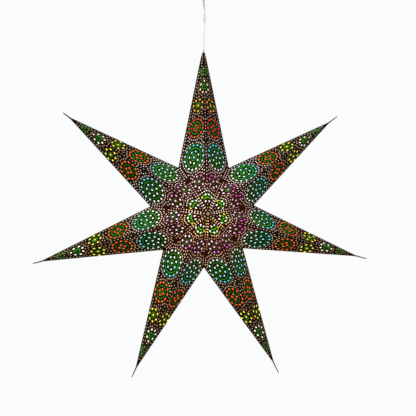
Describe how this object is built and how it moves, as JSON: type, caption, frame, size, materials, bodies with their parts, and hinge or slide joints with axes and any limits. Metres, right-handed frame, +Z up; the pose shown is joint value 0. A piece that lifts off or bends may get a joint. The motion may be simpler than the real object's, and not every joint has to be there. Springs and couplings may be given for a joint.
{
  "type": "paper star lantern",
  "caption": "Hung star-shaped lantern of folded dark card pierced with dot rosettes, backed by coloured tissue and lit by a bulb inside on a thin flex.",
  "frame": {"origin": "on the ceiling, at the middle of the ceiling fitting, straight above the star's centre", "axes": "+Z up, -Y the star's front, +X to the right as seen from the front"},
  "size_m": [0.5782, 0.1374, 0.6927],
  "materials": {
    "card": "dark brown uncoated card, pierced, with green ink rings",
    "tissue": "translucent tissue with fields of yellow, red, blue and pink",
    "bulb_glass": "opal white",
    "socket_ceramic": "glazed white",
    "lampholder_plastic": "satin cream white",
    "flex_sheath": "satin cream",
    "cotton": "twisted white cotton",
    "rose_plastic": "satin cream white",
    "terminal_plastic": "plain",
    "screw_steel": "zinc plated"
  },
  "bodies": {
    "root": {"arm_1": "card", "arm_2": "card", "arm_3": "card", "arm_4": "card", "arm_5": "card", "arm_6": "card", "arm_7": "card", "tissue_1": "tissue", "tissue_2": "tissue", "tissue_3": "tissue", "tissue_4": "tissue", "tissue_5": "tissue", "tissue_6": "tissue", "tissue_7": "tissue", "bulb": "bulb_glass", "lampholder_insert": "socket_ceramic", "lampholder_skirt": "lampholder_plastic", "lampholder_cap": "lampholder_plastic", "cord_grip": "lampholder_plastic", "flex": "flex_sheath", "hanging_string": "cotton", "rose_plate": "rose_plastic", "rose_cover": "rose_plastic", "rose_bush": "rose_plastic", "terminal_block": "terminal_plastic", "cover_screws": "screw_steel"}
  },
  "joints": []
}
